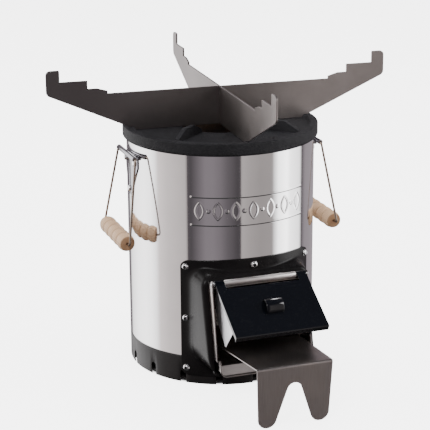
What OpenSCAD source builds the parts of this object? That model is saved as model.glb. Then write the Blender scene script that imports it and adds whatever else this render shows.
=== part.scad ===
// Portable rocket stove: insulated steel drum with a cast iron cooking plate,
// a front feed mouth with a flap door, and a cross-shaped sheet steel pan support.
// Units are millimetres. The origin is on the ground, on the drum's axis.
// +Z is up and the feed mouth faces -Y.

/* [Drum] */
// Height of the cooking plate above the ground
plate_top = 330; // [250:1:400]
// Outer radius of the polished drum
drum_r = 126; // [100:1:150]
// Sheet thickness of the drum
drum_wall = 1; // [0.6:0.1:2]
// Height of the black base ring above the ground
base_top = 36.5; // [25:0.5:60]
// Ground clearance under the base ring
base_gap = 0.5; // [0.5:0.5:3]
// Width of one air slot in the base ring
slot_w = 8.5; // [4:0.5:10]
// Height of the top of the air slots
slot_top = 18; // [10:1:30]

/* [Cooking plate] */
// Outer radius of the cast iron cooking plate
plate_r = 131; // [105:1:155]
// Height of the plate's outer skirt
plate_skirt = 17; // [10:1:30]
// Radius of the flue opening
flue_r = 52.5; // [40:0.5:60]
// Height of the plate's pot lugs above its rim
lug_high = 10; // [4:0.5:16]

/* [Pan support] */
// Reach of a support arm from the axis
arm_reach = 234; // [180:1:280]
// Height of the inner pan ledge above the plate
pan_ledge = 47.5; // [30:0.5:70]
// Sheet thickness of the support blades
blade_t = 2.5; // [1.5:0.1:4]
// Turn of the support cross about the axis
cross_turn = -3; // [-45:0.5:45]

/* [Feed mouth] */
// Half width of the feed tunnel outside
tunnel_w = 66; // [50:0.5:75]
// Height of the underside of the feed tunnel
tunnel_low = 33.5; // [25:0.5:45]
// Height of the top of the feed tunnel
tunnel_high = 149.8; // [120:0.1:170]
// Sheet thickness of tunnel, trays and door
sheet = 1.2; // [0.8:0.1:2]
// Angle of the door from hanging straight down
door_open = 59.5; // [35:0.5:88]
// Length of the door below its hinge pin
door_len = 92.5; // [70:0.5:110]

/* [Wood shelf] */
// Reach of the shelf's front edge from the axis
shelf_reach = 269.3; // [230:0.1:300]
// Height of the shelf's front edge
shelf_front_z = 81.5; // [60:0.5:100]
// Slope of the shelf, down towards the fire
shelf_slope = 6; // [0:0.5:12]
// Width of the shelf
shelf_w = 118.4; // [100:0.2:120]

/* [Handles] */
// Diameter of the bail wire
wire_d = 3; // [2:0.2:4]
// Length of a wooden grip
grip_len = 100; // [80:1:110]
// Largest diameter of a wooden grip
grip_d = 23; // [18:0.5:30]
// Outward lean of a hanging bail
bail_lean = 8.4; // [3:0.1:20]

/* [Hidden] */
$fn = 64;
eps = 0.02;
gap = 0.3;
run_fit = 0.06;
drum_top = plate_top - 9;

// base
base_wall = 1.5;
base_fillet = 2;
slot_count = 16;
slot_turn = -43.5;
foot_angle = 11;
foot_inner_r = 112;
foot_outer_r = 123.6;
bottom_plate_z = 6;
bead_r = 106;

// inner stack
chamber_r = 68;
chamber_high = 156;
liner_r = flue_r + 1.5;
cover_z = plate_top - 19;
floor_z = tunnel_low - 1.8;

// cooking plate
recess_z = plate_top - 4;
recess_r = 119;
lug_t = 6;
top_screw_r = 108;

// pan support
horn_h = 15.5;

// feed mouth
mouth_step_z = 55;
lower_w = tunnel_w - 4;
mouth_slope = 10;
housing_slope = 13.5;
housing_top_y = -132.5;
housing_top_z = 158;
housing_half_w = 73.5;
housing_low_z = 31.7;
housing_top_r = 12;
housing_low_r = 20;
flange_half_w = 89;
flange_low = 12.7;
flange_high = 172.5;
flange_crown = 3;
hinge_y = -148;
hinge_z = tunnel_high + 4;
knuckle_r = 4;
pin_r = 2;
sleeve_half = 49;
door_half_w = 62.8;
cheek_x = 57;
cheek_t = 1;
screw_heights = [163.8, 93, 23.2];

// wood shelf
shelf_t = 1.5;
apron_lean = 3;
leg_x = 35.3;
leg_tip_r = 12.5;
arch_r = 9.9;
arch_z = 47.6;

// handles
pivot_x = 131;
pivot_z = 297;
bail_half = 39;
bail_low_half = 59.5;
bail_drop = 110.4;
knuckle_half = 36.5;
grip_bulges = 5;

// ---------- shared shapes ----------

function arc(c, r, a0, a1, n = 8) =
    [for (i = [0 : n]) c + r * [cos(a0 + (a1 - a0) * i / n), sin(a0 + (a1 - a0) * i / n)]];

// cylinder along X, centred on the origin
module bar_x(r, h) {
    rotate([0, 90, 0]) cylinder(r = r, h = h, center = true);
}

// cylinder along Y, centred on the origin
module bar_y(r, h) {
    rotate([90, 0, 0]) cylinder(r = r, h = h, center = true);
}

// stands an X-Z outline up and extrudes it along Y, from y_front to y_back
module along_y(y_front, y_back) {
    translate([0, y_back, 0]) rotate([90, 0, 0]) linear_extrude(y_back - y_front) children();
}

// channel outline: flat top, floor with round corners
module channel(half_w, low, high, r) {
    translate([-half_w, low + r]) square([2 * half_w, high - low - r]);
    translate([-half_w + r, low]) square([2 * (half_w - r), r + eps]);
    for (s = [-1, 1]) translate([s * (half_w - r), low + r]) circle(r);
}

// rectangle with round corners, from low to high
module round_rect(half_w, low, high, r) {
    translate([-half_w, low + r]) square([2 * half_w, high - low - 2 * r]);
    translate([-half_w + r, low]) square([2 * (half_w - r), high - low]);
    for (s = [-1, 1], z = [low + r, high - r]) translate([s * (half_w - r), z]) circle(r);
}

// feed tunnel outline: wide fuel mouth above a narrower air and ash channel
module tunnel_outline(inset) {
    channel(lower_w - inset, tunnel_low + inset, mouth_step_z + 8, 9 - inset);
    translate([-tunnel_w + inset, mouth_step_z + inset])
        square([2 * (tunnel_w - inset), tunnel_high - mouth_step_z - 2 * inset]);
}

// everything in front of the plane through (y, z) that leans outwards going down
module ahead_of(y, z, slope) {
    translate([0, y, z]) rotate([-slope, 0, 0]) translate([-200, -200, -300]) cube([400, 200, 500]);
}

// a point on the drum surface turned by an angle from the door axis
module at_drum(angle, r, z) {
    rotate([0, 0, angle]) translate([0, -r, z]) rotate([90, 0, 0]) children();
}

// ---------- drum and base ----------

module outer_casing() {
    color([0.82, 0.83, 0.85])
    difference() {
        translate([0, 0, base_top]) cylinder(r = drum_r, h = drum_top - base_top);
        translate([0, 0, base_top - 1]) cylinder(r = drum_r - drum_wall, h = drum_top);
        along_y(-drum_r - 5, -60) translate([-70, 20]) square([140, 136]);
        screw_bores();
        rivet_bores();
    }
}

module base_ring() {
    collar_out = drum_r - drum_wall - 0.05;
    color([0.06, 0.06, 0.065])
    difference() {
        rotate_extrude() polygon(concat(
            [[drum_r - base_fillet, base_gap]],
            arc([drum_r - base_fillet, base_gap + base_fillet], base_fillet, -90, 0),
            [[drum_r, base_top], [collar_out, base_top], [collar_out, base_top + 9],
             [collar_out - base_wall, base_top + 9], [collar_out - base_wall, base_top - 4],
             [drum_r - base_wall, base_top - 5.5]],
            arc([drum_r - base_fillet, base_gap + base_fillet], base_fillet - base_wall, 0, -90)));
        for (i = [0 : slot_count - 1]) rotate([0, 0, slot_turn + i * 360 / slot_count]) air_slot();
        along_y(-drum_r - 5, -60) translate([-70, tunnel_low - 6]) square([140, 40]);
        screw_bores();
    }
}

module air_slot() {
    along_y(-drum_r - 5, -drum_r + 8) {
        translate([-slot_w / 2, -5]) square([slot_w, slot_top + 5 - slot_w / 2]);
        translate([0, slot_top - slot_w / 2]) circle(slot_w / 2);
    }
}

// pressed disc whose ring bead is the standing face
module bottom_plate() {
    z = bottom_plate_z;
    t = sheet;
    color([0.08, 0.08, 0.085])
    rotate_extrude() polygon([[0, z], [bead_r - 6, z], [bead_r - 4, 0], [bead_r + 3, 0],
        [bead_r + 5, z], [drum_r - base_wall - gap, z], [drum_r - base_wall - gap, z + t],
        [bead_r + 4, z + t], [bead_r + 2, t], [bead_r - 3, t], [bead_r - 5, z + t], [0, z + t]]);
}

module foot_pads() {
    color([0.04, 0.04, 0.04])
    for (a = [-54, 66, 186]) rotate([0, 0, a - 90 - foot_angle / 2])
        rotate_extrude(angle = foot_angle) polygon([[foot_inner_r, 0], [foot_outer_r - 1, 0],
            [foot_outer_r, 0.8], [foot_outer_r, bottom_plate_z], [foot_inner_r, bottom_plate_z]]);
}

// plate that carries the burn chamber and the insulation
module inner_floor() {
    color([0.55, 0.55, 0.56])
    difference() {
        translate([0, 0, floor_z]) cylinder(r = drum_r - drum_wall - base_wall - 0.2, h = 1.6);
        along_y(-drum_r - 5, -118) translate([-70, floor_z - 1]) square([140, 4]);
    }
}

// ---------- burn chamber ----------

// closed pot that the fire burns in, open to the feed tunnel at the front
module burn_chamber() {
    z0 = tunnel_low;
    t = sheet;
    color([0.5, 0.47, 0.44])
    difference() {
        rotate_extrude() polygon([[0, z0], [chamber_r, z0], [chamber_r, chamber_high],
            [liner_r - t, chamber_high], [liner_r - t, chamber_high - t],
            [chamber_r - t, chamber_high - t], [chamber_r - t, z0 + t], [0, z0 + t]]);
        along_y(-chamber_r - 5, 0) tunnel_outline(sheet);
    }
}

// tube that stands on the burn chamber's shoulder
module flue_pipe() {
    color([0.5, 0.47, 0.44])
    translate([0, 0, chamber_high]) difference() {
        cylinder(r = liner_r, h = plate_top - 12 - chamber_high);
        translate([0, 0, -1]) cylinder(r = liner_r - sheet, h = plate_top);
    }
}

module feed_tunnel() {
    color([0.72, 0.7, 0.68])
    difference() {
        union() {
            along_y(-190, 0) difference() {
                tunnel_outline(0);
                tunnel_outline(sheet);
            }
            for (s = [-1, 1]) translate([s * (tunnel_w - sheet / 2), 0, 0]) hinge_ear();
        }
        ahead_of(hinge_y - 3, tunnel_high, mouth_slope);
        cylinder(r = chamber_r + 0.05, h = plate_top);
        translate([0, hinge_y, hinge_z]) bar_x(pin_r, 2 * tunnel_w + 2);
    }
}

// upright ear at each end of the hinge pin
module hinge_ear() {
    translate([0, hinge_y, hinge_z]) bar_x(knuckle_r, sheet);
    translate([-sheet / 2, hinge_y - knuckle_r, hinge_z - 14]) cube([sheet, 15, 14]);
}

// two angle strips that the sloping shelf lies on
module shelf_rails() {
    inner = tunnel_w - sheet;
    color([0.6, 0.58, 0.56])
    for (s = [-1, 1]) shelf_frame() translate([s * (inner + 54) / 2, 0, 0])
        translate([-(inner - 54) / 2, 135, -shelf_t - gap - sheet])
            cube([inner - 54, 72, sheet]);
}

// ceramic wool that fills the drum round the burn chamber
module insulation() {
    color([0.9, 0.88, 0.82])
    difference() {
        translate([0, 0, floor_z + 1.7])
            cylinder(r = drum_r - drum_wall - base_wall - gap, h = cover_z - floor_z - 1.8);
        translate([0, 0, -1]) cylinder(r = chamber_r + 0.1, h = chamber_high + 1.1);
        cylinder(r = liner_r + 0.1, h = plate_top);
        along_y(-drum_r - 5, 0) translate([-tunnel_w - 0.1, 0])
            square([2 * tunnel_w + 0.2, tunnel_high + 0.1]);
        along_y(-drum_r - 5, -112) translate([-80, 0]) square([160, 175]);
        top_screw_bores(2.45);
    }
}

module cover_plate() {
    color([0.5, 0.5, 0.5])
    difference() {
        translate([0, 0, cover_z]) cylinder(r = drum_r - drum_wall - 0.1, h = sheet);
        translate([0, 0, cover_z - 1]) cylinder(r = liner_r + 0.1, h = 4);
        top_screw_bores(2.45);
    }
}

// ---------- cooking plate ----------

module cast_iron_top() {
    skirt_low = plate_top - plate_skirt;
    web_z = recess_z - 5;
    color([0.13, 0.13, 0.135])
    difference() {
        union() {
            rotate_extrude() polygon(concat(
                [[flue_r, web_z - 3], [flue_r + 4.5, web_z - 3], [flue_r + 4.5, web_z],
                 [drum_r + 0.3, web_z], [drum_r + 0.3, skirt_low], [plate_r - 3.5, skirt_low]],
                arc([plate_r - 3.5, skirt_low + 3.5], 3.5, -80, 0),
                arc([plate_r - 1.5, plate_top - 1.5], 1.5, 0, 90),
                [[recess_r + 2, plate_top], [recess_r, recess_z], [flue_r, recess_z]]));
            for (i = [0 : 3]) rotate([0, 0, cross_turn + 45 + 90 * i]) pot_lug();
        }
        top_screw_bores(2.45);
        at_top_screws() translate([0, 0, recess_z - 2.6]) cylinder(r1 = 2.45, r2 = 5.05, h = 2.6 + eps);
    }
}

// upright fin that a pot stands on
module pot_lug() {
    low = recess_z - 1;
    top = plate_top + lug_high;
    rotate([90, 0, 0]) linear_extrude(lug_t, center = true)
        polygon([[flue_r + 3, low], [flue_r + 3, plate_top + 1], [76, top], [97, top],
            [recess_r - 2, plate_top - 0.5], [recess_r - 2, low]]);
}

module at_top_screws() {
    for (i = [0 : 2]) rotate([0, 0, 50 + 120 * i]) translate([top_screw_r, 0, 0]) children();
}

module top_screw_bores(r) {
    at_top_screws() translate([0, 0, cover_z - 5]) cylinder(r = r, h = 40);
}

module top_screws() {
    color([0.3, 0.3, 0.31])
    at_top_screws() difference() {
        union() {
            translate([0, 0, recess_z - 2.5]) cylinder(r1 = 2.4, r2 = 4.9, h = 2.5);
            translate([0, 0, cover_z - 3]) cylinder(r = 2.4, h = recess_z - cover_z + 1);
        }
        translate([0, 0, recess_z - 1.4]) cylinder(r = 1.6, h = 3, $fn = 6);
    }
}

// ---------- pan support ----------

// half of a blade: sawtooth ledges inside an upright horn at the tip
function arm_outline() = let (
        z0 = plate_top,
        z1 = plate_top + pan_ledge,
        tip = arm_reach)
    concat(
        [[recess_r - 3, z0 - 3.7], [recess_r - 0.5, z0 + gap], [tip - 110, z0 + gap]],
        arc([tip - 7, z0 + 54], 7, -62, 0, 5),
        arc([tip - 6, z1 + 28], 6, 0, 90, 5),
        arc([tip - 16.5, z1 + 32.5], 1.5, 90, 180, 3),
        [[tip - 18, z1 + 34 - horn_h], [tip - 54.5, z1 + 34 - horn_h], [tip - 54.5, z1 + 7.5],
         [tip - 67, z1 + 7.5], [tip - 81, z1 + 3.5], [tip - 81, z1]]);

module blade(slot_low, slot_high) {
    right = arm_outline();
    rotate([90, 0, 0]) linear_extrude(blade_t, center = true) difference() {
        polygon(concat(right, [for (i = [len(right) - 1 : -1 : 0]) [-right[i][0], right[i][1]]]));
        translate([-blade_t / 2 - gap, slot_low]) square([blade_t + 2 * gap, slot_high - slot_low]);
    }
}

// blade that stands left to right, slotted from above
module support_blade_lower() {
    mid = plate_top + pan_ledge / 2 - 1.5;
    color([0.36, 0.35, 0.34])
    rotate([0, 0, cross_turn]) blade(mid, plate_top + pan_ledge + 5);
}

// blade that stands front to back, slotted from below
module support_blade_upper() {
    mid = plate_top + pan_ledge / 2 - 1.5;
    color([0.38, 0.37, 0.36])
    rotate([0, 0, cross_turn + 90]) blade(plate_top - 10, mid + gap);
}

// ---------- door housing ----------

// front outline of the housing, drawn inwards by an inset
module housing_face(inset) {
    for (s = [-1, 1]) {
        translate([s * (housing_half_w - housing_top_r), housing_top_z - housing_top_r])
            circle(housing_top_r - inset, $fn = 32);
        translate([s * (housing_half_w - housing_low_r), housing_low_z + housing_low_r])
            circle(housing_low_r - inset, $fn = 32);
    }
}

module housing_solid(inset) {
    front_y = housing_top_y + inset - housing_top_z * tan(housing_slope);
    hull() {
        // slanted front face
        multmatrix([[1, 0, 0, 0], [0, 1, tan(housing_slope), front_y], [0, 0, 1, 0], [0, 0, 0, 1]])
            along_y(0, 0.5) housing_face(inset);
        // root on the drum
        along_y(-100, -96) round_rect(80 - inset, 22 + inset, 166 - inset, 20, $fn = 32);
    }
}

// flange outline seen from the front, with a slightly bowed top edge
module flange_outline() {
    half = flange_half_w - 9;
    bow_r = (half * half + flange_crown * flange_crown) / (2 * flange_crown);
    bow_a = asin(half / bow_r);
    round_rect(flange_half_w, flange_low, flange_high, 9);
    polygon(concat([[-half, flange_high - 5], [half, flange_high - 5]],
        arc([0, flange_high + flange_crown - bow_r], bow_r, 90 - bow_a, 90 + bow_a, 16)));
}

module door_housing() {
    color([0.05, 0.05, 0.055])
    difference() {
        union() {
            intersection() {
                difference() {
                    cylinder(r = drum_r + 1.3, h = 200);
                    translate([0, 0, -1]) cylinder(r = drum_r + 0.05, h = 210);
                }
                along_y(-140, -40) flange_outline();
            }
            difference() {
                housing_solid(0);
                translate([0, 0, -1]) cylinder(r = drum_r + 0.05, h = 210);
            }
        }
        housing_solid(1.5);
        along_y(-200, -60) offset_tunnel();
        screw_bores();
    }
}

// clearance outline round the feed tunnel
module offset_tunnel() {
    channel(lower_w + 0.1, tunnel_low - 0.1, mouth_step_z + 8, 9);
    translate([-tunnel_w - 0.1, mouth_step_z - 0.1])
        square([2 * tunnel_w + 0.2, tunnel_high - mouth_step_z + 0.2]);
}

module at_housing_screws() {
    for (a = [-41, 41], z = screw_heights) at_drum(a, drum_r, z) children();
    at_drum(0, drum_r, screw_heights[0] + flange_crown) children();
    at_drum(0, drum_r, screw_heights[2] - 3.2) children();
}

module screw_bores() {
    at_housing_screws() translate([0, 0, -4]) cylinder(r = 2.05, h = 10);
}

module housing_screws() {
    color([0.8, 0.8, 0.8])
    at_housing_screws() difference() {
        union() {
            translate([0, 0, -2.6]) cylinder(r = 2, h = 4.6);
            translate([0, 0, 1.35]) cylinder(r = 4.5, h = 0.8);
            translate([0, 0, 2.15]) cylinder(r1 = 4.5, r2 = 3, h = 1.7);
        }
        translate([0, 0, 1.6]) cylinder(r = 1.45, h = 4, $fn = 6);
    }
}

// ---------- door ----------

module hinge_sleeve() {
    color([0.7, 0.68, 0.66])
    translate([0, hinge_y, hinge_z]) difference() {
        bar_x(knuckle_r - 0.02, 2 * sleeve_half);
        bar_x(pin_r + run_fit, 2 * sleeve_half + 2);
    }
}

module hinge_pin() {
    color([0.6, 0.6, 0.6])
    translate([0, hinge_y, hinge_z]) bar_x(pin_r, 2 * tunnel_w + 1.6);
}

// the door's own frame: hanging straight down from the pin, outside towards -Y
module door_frame() {
    translate([0, hinge_y, hinge_z]) rotate([-door_open, 0, 0]) children();
}

module feed_door() {
    face = -knuckle_r;
    notch = sleeve_half + 0.9;
    color([0.03, 0.03, 0.035])
    door_frame() difference() {
        union() {
            translate([-door_half_w, face, -door_len]) cube([2 * door_half_w, sheet, door_len]);
            translate([-door_half_w, face, -door_len]) cube([2 * door_half_w, 8, sheet]);
            for (s = [-1, 1]) {
                translate([s * (door_half_w - sheet / 2) - sheet / 2, face, -door_len])
                    cube([sheet, 5, door_len - 10]);
                translate([s * (door_half_w + notch) / 2, 0, 0]) bar_x(knuckle_r, door_half_w - notch);
            }
        }
        translate([-notch, face - 1, -13]) cube([2 * notch, 20, 30]);
        bar_x(pin_r + run_fit, 2 * door_half_w + 2);
    }
}

// arched sheet loop to hook the door open with
module door_pull() {
    loop_r = 10.5;
    color([0.04, 0.045, 0.05])
    door_frame() translate([0, -knuckle_r, -50.5]) difference() {
        bar_x(loop_r, 23);
        bar_x(loop_r - sheet, 25);
        translate([-20, 0, -20]) cube([40, 40, 40]);
    }
}

module cheek(side) {
    back = -knuckle_r + sheet;
    color([0.72, 0.72, 0.73])
    door_frame() translate([side * (cheek_x + cheek_t / 2) - cheek_t / 2, 0, 0])
        rotate([90, 0, 90]) linear_extrude(cheek_t)
            polygon([[back, -7], [back, -75.7], [50, -64.1], [49.4, -56], [48.4, -48], [47, -39.5],
                [45, -31], [41.8, -23], [37.2, -15.6], [32.5, -9.2], [27.5, -3.6], [11.8, -3.6]]);
}

// ---------- wood shelf and ash tray ----------

// the shelf's own frame: origin on the middle of its front edge, top face at z 0
module shelf_frame() {
    translate([0, -shelf_reach, shelf_front_z]) rotate([-shelf_slope, 0, 0]) children();
}

// apron that ends in two rounded legs with an arch between them
module apron_outline() {
    top = shelf_front_z - 0.4;
    half = shelf_w / 2 - 0.1;
    polygon(concat(
        [[-half, top], [half, top]],
        arc([leg_x, leg_tip_r], leg_tip_r, -10, -162, 14),
        arc([0, arch_z], arch_r, 18, 162, 14),
        arc([-leg_x, leg_tip_r], leg_tip_r, -18, -170, 14)));
}

module wood_shelf() {
    inner_end = shelf_reach - 52;
    color([0.5, 0.47, 0.44])
    union() {
        shelf_frame() translate([-shelf_w / 2, 0, -shelf_t]) cube([shelf_w, inner_end, shelf_t]);
        // the apron's top edge runs up inside the bend
        translate([0, -shelf_reach + 0.1, shelf_front_z]) rotate([apron_lean, 0, 0])
            translate([0, 0, -shelf_front_z]) along_y(0, shelf_t) apron_outline();
    }
}

module ash_tray() {
    half = lower_w - sheet - gap;
    low = tunnel_low + sheet + gap;
    high = 52;
    front = -168.5;
    back = 26;
    color([0.62, 0.6, 0.58])
    difference() {
        along_y(front, back) channel(half, low, high, 7.5);
        along_y(front + sheet, back - sheet) channel(half - sheet, low + sheet, high + 5, 6.3);
        along_y(front - 1, front + sheet + 1) translate([-half - 1, 49.5]) square([2 * half + 2, 10]);
    }
}

// ---------- handles ----------

module bracket_outline() {
    top = pivot_z - 2;
    waist = pivot_z - 16;
    polygon([[-26, top], [-26, waist], [-8, 249], [8, 249], [26, waist], [26, top]]);
    translate([0, 249]) circle(8);
}

module bracket(side) {
    color([0.75, 0.75, 0.77])
    difference() {
        union() {
            intersection() {
                difference() {
                    cylinder(r = drum_r + 1.5, h = plate_top);
                    translate([0, 0, -1]) cylinder(r = drum_r + 0.05, h = plate_top + 5);
                }
                rotate([0, 0, side * 90]) along_y(-drum_r - 20, -80) bracket_outline();
            }
            difference() {
                translate([side * (pivot_x - 3), 0, pivot_z - 2.5]) cube([4, 52, 5], center = true);
                translate([0, 0, -1]) cylinder(r = drum_r + 0.05, h = plate_top + 5);
            }
            translate([side * pivot_x, 0, pivot_z]) bar_y(3.3, 2 * knuckle_half);
        }
        translate([side * pivot_x, 0, pivot_z]) bar_y(wire_d / 2 + run_fit, 2 * knuckle_half + 2);
        rivet_bores();
    }
}

module at_rivets() {
    for (s = [-1, 1]) {
        at_drum(s * 90, drum_r, 249) children();
        for (a = [-8.7, 8.7]) at_drum(s * 90 + a, drum_r, 287) children();
    }
}

module rivet_bores() {
    at_rivets() translate([0, 0, -4]) cylinder(r = 2.05, h = 10);
}

module bracket_rivets() {
    color([0.8, 0.8, 0.82])
    at_rivets() {
        translate([0, 0, -2.5]) cylinder(r = 2, h = 4.5);
        translate([0, 0, 1.55]) cylinder(r = 4, h = 0.6);
        translate([0, 0, 2.15]) cylinder(r1 = 4, r2 = 2.4, h = 1.3);
    }
}

// the bail's own frame: pivot on the origin, hanging straight down
module bail_frame(side) {
    translate([side * pivot_x, 0, pivot_z]) rotate([0, -side * bail_lean, 0]) children();
}

module bail(side) {
    r = wire_d / 2;
    knot_r = r + 0.2;
    low = [0, bail_low_half, -bail_drop];
    high = [0, bail_half, 0];
    span = norm(low - high);
    splay = atan2(low[1] - high[1], bail_drop);
    color([0.45, 0.4, 0.36])
    bail_frame(side) {
        bar_y(r, 2 * bail_half);
        translate([0, 0, -bail_drop]) bar_y(r, 2 * low[1]);
        for (s = [-1, 1]) {
            translate([0, s * bail_half, 0]) {
                sphere(knot_r);
                rotate([180 + s * splay, 0, 0]) cylinder(r = r, h = span);
            }
            translate([0, s * low[1], -bail_drop]) sphere(knot_r);
        }
    }
}

// turned beech grip with shallow bulges
module grip(side) {
    half = grip_len / 2;
    bulge = grip_len / grip_bulges;
    sag = 1.9;
    bulge_r = (bulge * bulge / 4 + sag * sag) / (2 * sag);
    half_a = asin(bulge / 2 / bulge_r);
    color([0.86, 0.7, 0.5])
    bail_frame(side) translate([0, 0, -bail_drop]) rotate([90, 0, 0]) rotate_extrude()
        polygon(concat([[wire_d / 2 + run_fit, -half], [grip_d / 2 - 2.5, -half]],
            [for (i = [0 : grip_bulges - 1], k = [-2 : 2])
                let (a = half_a * k / 2.2)
                [grip_d / 2 - bulge_r + bulge_r * cos(a),
                 -half + bulge * (i + 0.5) + bulge_r * sin(a)]],
            [[grip_d / 2 - 2.5, half], [wire_d / 2 + run_fit, half]]));
}

outer_casing();
base_ring();
bottom_plate();
foot_pads();
inner_floor();
burn_chamber();
flue_pipe();
feed_tunnel();
shelf_rails();
insulation();
cover_plate();
cast_iron_top();
top_screws();
support_blade_lower();
support_blade_upper();
door_housing();
housing_screws();
hinge_sleeve();
hinge_pin();
feed_door();
door_pull();
cheek(-1);  // left_cheek
cheek(1);  // right_cheek
wood_shelf();
ash_tray();
bracket(-1);  // left_bracket
bracket(1);  // right_bracket
bracket_rivets();
bail(-1);  // left_bail
bail(1);  // right_bail
grip(-1);  // left_grip
grip(1);  // right_grip
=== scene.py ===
import math

import bmesh
import bpy
from mathutils import Matrix, Vector
from mathutils.kdtree import KDTree


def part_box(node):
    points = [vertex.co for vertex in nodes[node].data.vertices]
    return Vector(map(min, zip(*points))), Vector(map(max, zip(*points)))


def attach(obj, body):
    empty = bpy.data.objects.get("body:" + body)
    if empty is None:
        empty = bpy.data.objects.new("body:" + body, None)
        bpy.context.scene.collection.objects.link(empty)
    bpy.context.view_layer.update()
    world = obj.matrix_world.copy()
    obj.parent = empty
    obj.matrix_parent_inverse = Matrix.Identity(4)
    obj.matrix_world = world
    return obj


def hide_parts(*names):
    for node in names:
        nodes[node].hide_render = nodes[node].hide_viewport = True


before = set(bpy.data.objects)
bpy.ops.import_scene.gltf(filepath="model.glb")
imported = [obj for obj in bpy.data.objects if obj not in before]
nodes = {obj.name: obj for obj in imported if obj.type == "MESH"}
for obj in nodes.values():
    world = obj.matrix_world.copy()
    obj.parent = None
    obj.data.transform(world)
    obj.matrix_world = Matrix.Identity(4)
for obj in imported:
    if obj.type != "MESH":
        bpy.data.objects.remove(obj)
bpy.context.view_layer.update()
bpy.ops.object.select_all(action="DESELECT")


# ---------- the studio: where the stove stands and how it is lit ----------
# A long lens looks a little down on the stove from the left of its feed mouth. The
# pale table glows, but for a dark patch under the stove that stands for its shadow,
# and soft panels of different greys all round are mirrored by the drum as bands.

camera_data = bpy.data.cameras.new("studio_camera")
camera_data.lens = 127.0
camera_data.sensor_width = 36.0
camera_data.shift_x = -0.0129
camera_data.clip_end = 50.0
camera = bpy.data.objects.new("studio_camera", camera_data)
bpy.context.scene.collection.objects.link(camera)
camera_turn = math.radians(-19.786)
camera_pitch = math.radians(16.874)
camera_roll = math.radians(-0.29)
camera_range = 1.98271
camera_high = 0.79893
camera.matrix_world = (
    Matrix.Translation((math.sin(camera_turn) * camera_range,
                        -math.cos(camera_turn) * camera_range, camera_high))
    @ Matrix.Rotation(camera_turn, 4, "Z")
    @ Matrix.Rotation(math.pi / 2 - camera_pitch, 4, "X")
    @ Matrix.Rotation(camera_roll, 4, "Z"))
bpy.context.scene.camera = camera

bpy.ops.mesh.primitive_plane_add(size=30, location=(0, 0, -0.0004))
table = bpy.context.active_object
table.name = "table"
table.visible_glossy = False
table.visible_diffuse = False


class Socket:
    """One output of a finish's nodes, with the arithmetic that shader maths needs."""

    def __init__(self, finish, link):
        self.finish = finish
        self.link = link

    def __add__(self, other):
        return self.finish.maths("ADD", self, other)

    def __sub__(self, other):
        return self.finish.maths("SUBTRACT", self, other)

    def __rsub__(self, other):
        return self.finish.maths("SUBTRACT", other, self)

    def __mul__(self, other):
        return self.finish.maths("MULTIPLY", self, other)

    def __truediv__(self, other):
        return self.finish.maths("DIVIDE", self, other)

    __radd__ = __add__
    __rmul__ = __mul__


class Nodes:
    """A node tree that is written as Python expressions."""

    def __init__(self, tree):
        self.tree = tree
        tree.nodes.clear()

    def node(self, kind, out=0, settings=None, **values):
        """A new node's output; its inputs go by name, or by number as i0, i1 and so on."""
        made = self.tree.nodes.new("ShaderNode" + kind)
        for name, value in (settings or {}).items():
            if name == "stops":
                ramp = made.color_ramp
                while len(ramp.elements) < len(value):
                    ramp.elements.new(1.0)
                for element, (place, colour) in zip(ramp.elements, value):
                    element.position = place
                    element.color = (*colour, 1)
            else:
                setattr(made, name, value)
        for name, value in values.items():
            number = name[1:]
            socket = made.inputs[int(number) if number.isdigit() else name.replace("_", " ")]
            if isinstance(value, Socket):
                self.tree.links.new(value.link, socket)
            else:
                socket.default_value = value
        return Socket(self, made.outputs[out])

    def maths(self, operation, *terms, clamp=False):
        return self.node("Math", settings={"operation": operation, "use_clamp": clamp},
                         **{f"i{n}": term for n, term in enumerate(terms)})

    def mix(self, factor, low, high):
        def rgba(colour):
            return colour if isinstance(colour, Socket) else (*colour, 1)
        return self.node("Mix", 2, {"data_type": "RGBA"},
                         i0=factor, i6=rgba(low), i7=rgba(high))

    def step(self, value, low, high):
        """0 at low, 1 at high, smooth between."""
        return self.node("MapRange", settings={"interpolation_type": "SMOOTHSTEP"},
                         Value=value, From_Min=low, From_Max=high)

    def noise(self, coords, scale, detail=2.0, rough=0.5):
        return self.node("TexNoise", Vector=coords, Scale=scale, Detail=detail, Roughness=rough)

    def stretched(self, coords, x, y, z):
        return self.node("Mapping", Vector=coords, Scale=(x, y, z))


class Finish(Nodes):
    """A procedural material round one Principled shader."""

    def __init__(self, name, **fixed):
        self.material = bpy.data.materials.new(name)
        self.material.use_nodes = True
        super().__init__(self.material.node_tree)
        self.shader = self.tree.nodes.new("ShaderNodeBsdfPrincipled")
        output = self.tree.nodes.new("ShaderNodeOutputMaterial")
        self.tree.links.new(self.shader.outputs[0], output.inputs[0])
        for socket, value in fixed.items():
            self.set(socket, value)
        self.place = self.node("TexCoord", 3)

    def set(self, name, value):
        socket = self.shader.inputs[name.replace("_", " ")]
        if isinstance(value, Socket):
            self.tree.links.new(value.link, socket)
        else:
            socket.default_value = value

    def split(self):
        apart = self.node("SeparateXYZ", Vector=self.place)
        outputs = apart.link.node.outputs
        return [Socket(self, outputs[n]) for n in range(3)]

    def bump(self, height, depth):
        """A surface that rises by depth metres where height is 1."""
        self.set("Normal", self.node("Bump", Height=height, Distance=depth, Strength=1.0))

    def on(self, *objects):
        for thing in objects:
            thing.data.materials.clear()
            thing.data.materials.append(self.material)


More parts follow.
